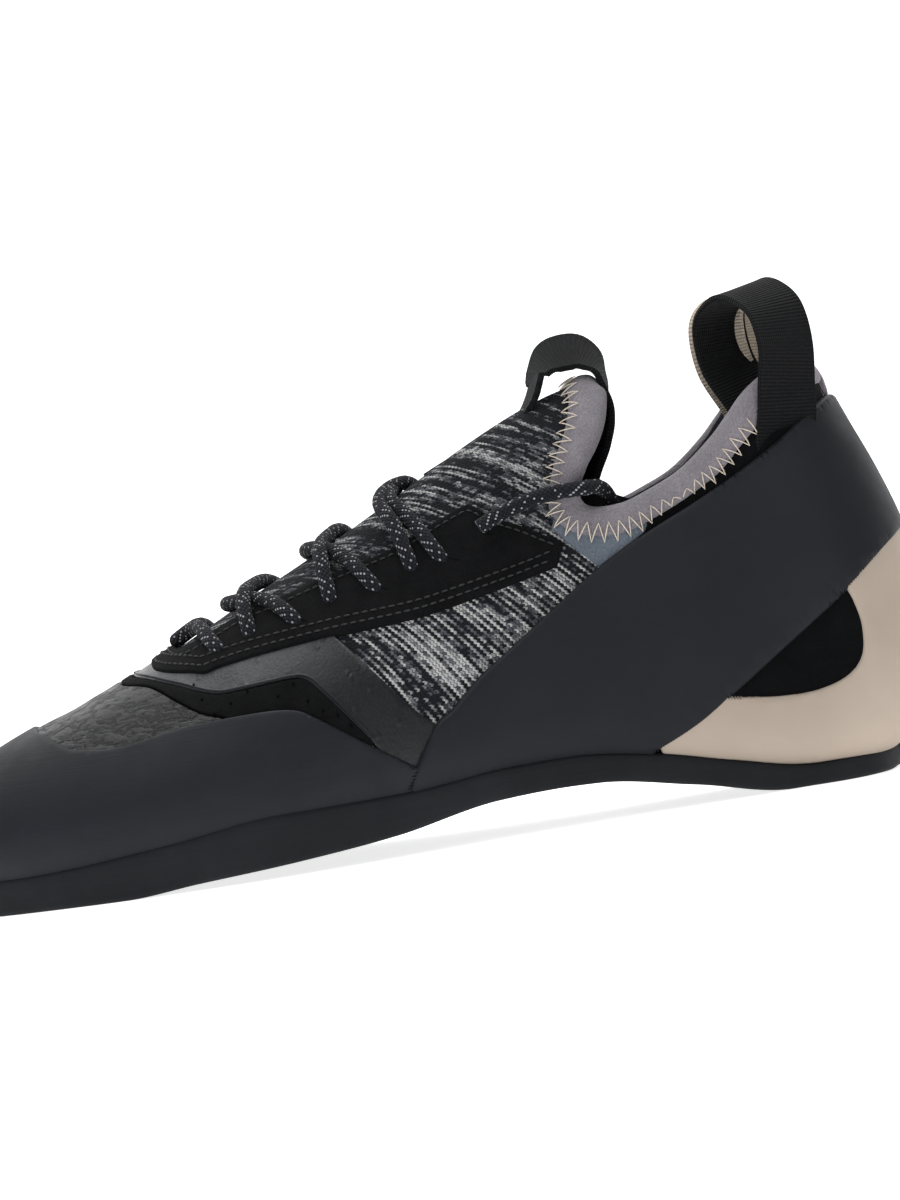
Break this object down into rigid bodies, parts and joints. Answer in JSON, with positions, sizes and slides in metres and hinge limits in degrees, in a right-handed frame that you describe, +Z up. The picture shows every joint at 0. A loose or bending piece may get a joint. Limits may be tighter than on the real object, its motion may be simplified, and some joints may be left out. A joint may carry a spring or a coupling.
{
  "type": "climbing shoe",
  "caption": "Low lace-up climbing shoe for the left foot: knitted bootie with a grown-on tongue, rubber toe and heel rands, heel sling, suede eyestay and webbing pull loops.",
  "frame": {"origin": "middle of the sole's flat spot under the heel, on the floor", "axes": "+X points back along the shoe to the heel, -Y is the outer side of the left foot, +Z is up"},
  "size_m": [0.2577, 0.0878, 0.1247],
  "materials": {
    "rubber_tread": "smooth dark climbing rubber, slightly worn",
    "rubber_dark": "matt charcoal rubber",
    "rubber_beige": "matt beige rubber with light scuffs",
    "insole": "plain woven lining",
    "knit": "heather knit in dark and pale grey stripes",
    "leather": "fine grained, satin",
    "microsuede": "short nap, matt",
    "film": "satin film",
    "suede": "black suede",
    "binding": "soft stretch fabric",
    "webbing_black": "ribbed webbing",
    "webbing_beige": "ribbed webbing",
    "lace": "round braid with pale flecks"
  },
  "bodies": {
    "root": {"outsole": "rubber_tread", "insole": "insole", "upper": "knit", "toe_rand": "rubber_dark", "heel_sling": "rubber_dark", "heel_rand": "rubber_beige", "toe_patch": "leather", "perforated_strip": "microsuede", "vamp_film": "film", "eyestay": "suede", "collar_binding": "binding", "heel_loop_outer": "webbing_black", "heel_loop_inner": "webbing_beige", "tongue_loop": "webbing_black", "lace_bar": "lace", "lace_crossing_1": "lace", "lace_crossing_2": "lace", "lace_crossing_3": "lace", "lace_end_outer": "lace", "lace_end_inner": "lace"}
  },
  "joints": []
}
